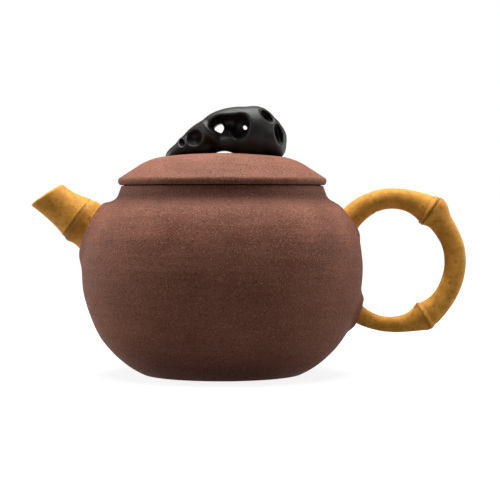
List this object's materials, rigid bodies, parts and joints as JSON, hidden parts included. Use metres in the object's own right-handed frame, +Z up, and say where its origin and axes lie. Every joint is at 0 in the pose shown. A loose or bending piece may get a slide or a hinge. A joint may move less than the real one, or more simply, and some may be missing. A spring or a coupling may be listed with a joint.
{
  "type": "clay teapot",
  "caption": "Round unglazed clay teapot with a bamboo-shaped spout and ring handle, strainer holes inside, and a lift-off lid with a pierced rock for its knob.",
  "frame": {"origin": "on the table, at the pot's round axis, in the middle of the flat base", "axes": "+Z up along the pot's round axis; +X towards the handle and -X towards the spout; +Y away from the viewer of the picture"},
  "size_m": [0.1452, 0.0936, 0.089],
  "materials": {
    "purple_clay": "unglazed purple-brown stoneware with pale sandy specks, matt",
    "yellow_clay": "unglazed mustard-yellow stoneware with dark specks, matt",
    "black_clay": "unglazed black stoneware, smooth and faintly satin"
  },
  "bodies": {
    "pot": {"belly_wall": "purple_clay", "base_disc": "purple_clay", "cover_disc": "purple_clay", "neck_ring": "purple_clay", "spout_collar": "purple_clay", "handle_top_collar": "purple_clay", "handle_lower_collar": "purple_clay", "spout_root_internode": "yellow_clay", "spout_tip_internode": "yellow_clay", "handle_top_internode": "yellow_clay", "handle_grip_internode": "yellow_clay", "handle_lower_internode": "yellow_clay"},
    "lid": {"lid_dome": "purple_clay", "lid_rim_band": "purple_clay", "lid_flange": "purple_clay", "rock_knob": "black_clay"}
  },
  "joints": [
    {"name": "lid_lift", "type": "slide", "parent": "pot", "child": "lid", "axis": [0, 0, 1], "range_m": [0, 0.06]}
  ]
}
